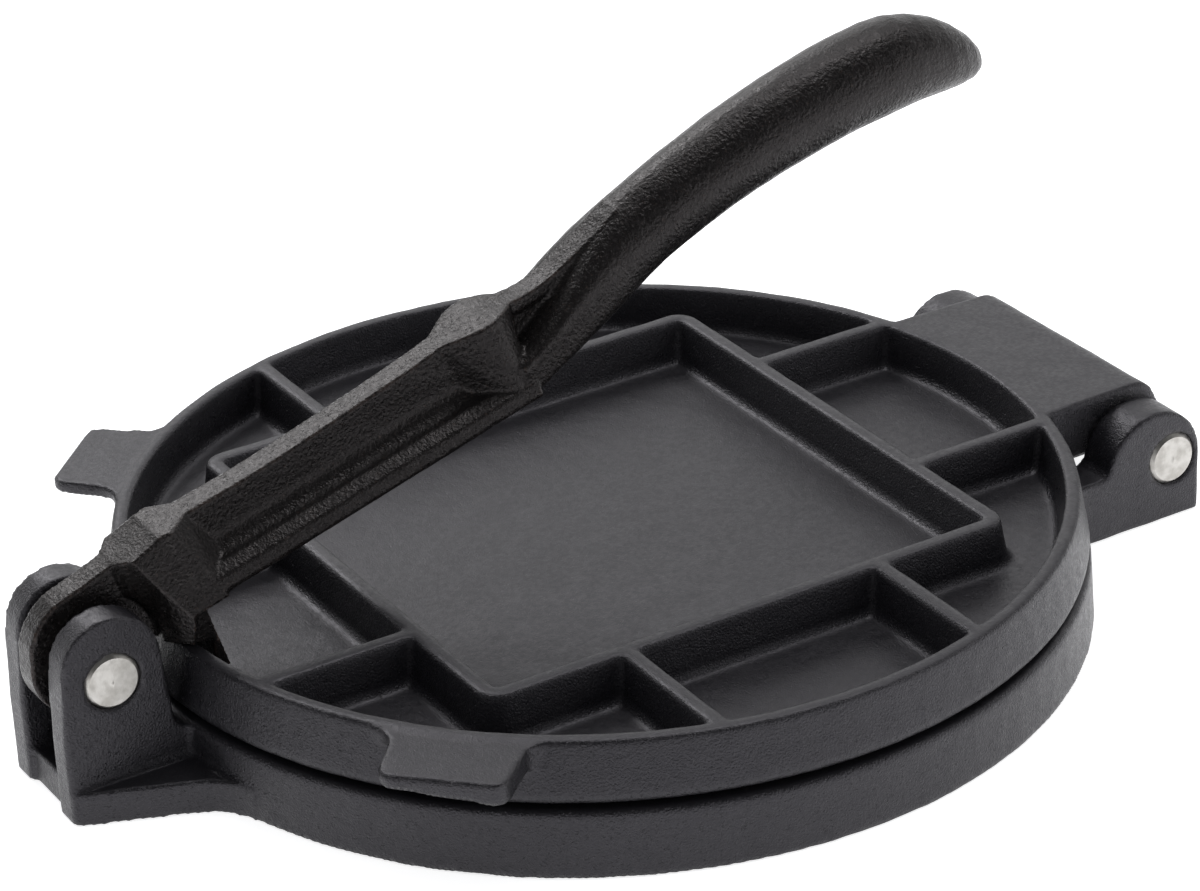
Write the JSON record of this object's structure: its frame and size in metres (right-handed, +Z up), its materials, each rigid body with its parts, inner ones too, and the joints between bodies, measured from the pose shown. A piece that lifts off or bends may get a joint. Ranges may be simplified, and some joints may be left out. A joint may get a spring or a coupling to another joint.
{
  "type": "tortilla press",
  "caption": "Cast iron tortilla press: round base, ribbed round top plate on a rear hinge, and a long arched lever in a forked bracket at the front.",
  "frame": {"origin": "on the table, under the centre of the round base", "axes": "+X along the hinge pins, +Y from the lever's bracket to the plate's hinge, +Z up"},
  "size_m": [0.2102, 0.2629, 0.117],
  "materials": {
    "cast_iron_black": "seasoned black, fine sand-cast grain",
    "cast_iron_rubbed": "seasoned black, rubbed brown on the ridges",
    "pin_steel": "bright satin"
  },
  "bodies": {
    "base": {"base": "cast_iron_black", "lever_pin": "pin_steel", "hinge_pin": "pin_steel"},
    "top_plate": {"top_plate": "cast_iron_black"},
    "lever": {"lever": "cast_iron_rubbed"}
  },
  "joints": [
    {"name": "lever_swing", "type": "hinge", "parent": "base", "child": "lever", "pos_m": [0, -0.1188, 0.0293], "axis": [1, 0, 0], "range_deg": [0, 160]},
    {"name": "plate_open", "type": "hinge", "parent": "base", "child": "top_plate", "pos_m": [0, 0.1238, 0.0145], "axis": [-1, 0, 0], "range_deg": [0, 110]}
  ],
  "couplings": [
    {"joint": "plate_open", "follows": "lever_swing", "ratio": 0.07}
  ]
}
